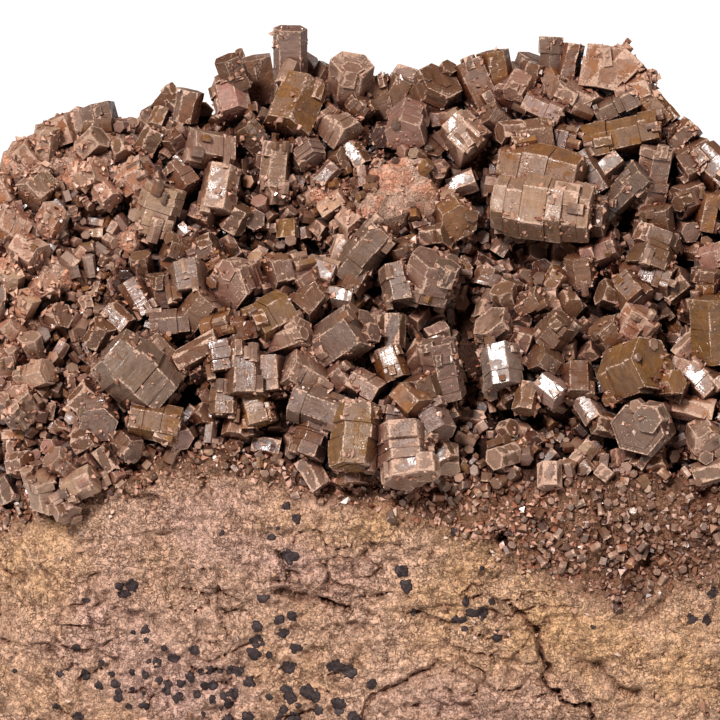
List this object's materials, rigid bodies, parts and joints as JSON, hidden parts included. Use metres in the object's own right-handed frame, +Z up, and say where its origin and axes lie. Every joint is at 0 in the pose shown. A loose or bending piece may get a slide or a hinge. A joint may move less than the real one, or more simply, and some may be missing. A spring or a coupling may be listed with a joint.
{
  "type": "vanadinite on matrix",
  "caption": "Hand specimen of an iron-stained rock whose upper front is crusted with short six-sided brown vanadinite crystals grown together in groups.",
  "frame": {"origin": "on the flat underside, straight below the middle of the rock", "axes": "+Z up from the face it rests on, -Y towards the crystal-covered side that shows, +X along the long side to the right of that side"},
  "size_m": [0.0901, 0.0482, 0.0624],
  "materials": {
    "rock": "rough, iron-stained, with dark oxide spots",
    "vanadinite": "resinous, dusted with clay"
  },
  "bodies": {
    "root": {"back_left_shoulder_group": "vanadinite", "back_right_shoulder_group": "vanadinite", "barrel_group": "vanadinite", "centre_group": "vanadinite", "hexagon_group": "vanadinite", "left_edge_group": "vanadinite", "left_end_group": "vanadinite", "left_middle_group": "vanadinite", "left_shoulder_group": "vanadinite", "lower_left_group": "vanadinite", "lower_middle_group": "vanadinite", "lower_right_group": "vanadinite", "lower_stack_group": "vanadinite", "matrix_rock": "rock", "plate_group": "vanadinite", "rib_group": "vanadinite", "ridge_back_left_group": "vanadinite", "ridge_back_right_group": "vanadinite", "ridge_middle_group": "vanadinite", "right_edge_group": "vanadinite", "right_end_group": "vanadinite", "right_middle_group": "vanadinite", "right_upper_group": "vanadinite", "shoulder_group": "vanadinite", "tall_crystal_group": "vanadinite", "top_right_group": "vanadinite", "upper_left_group": "vanadinite"}
  },
  "joints": []
}
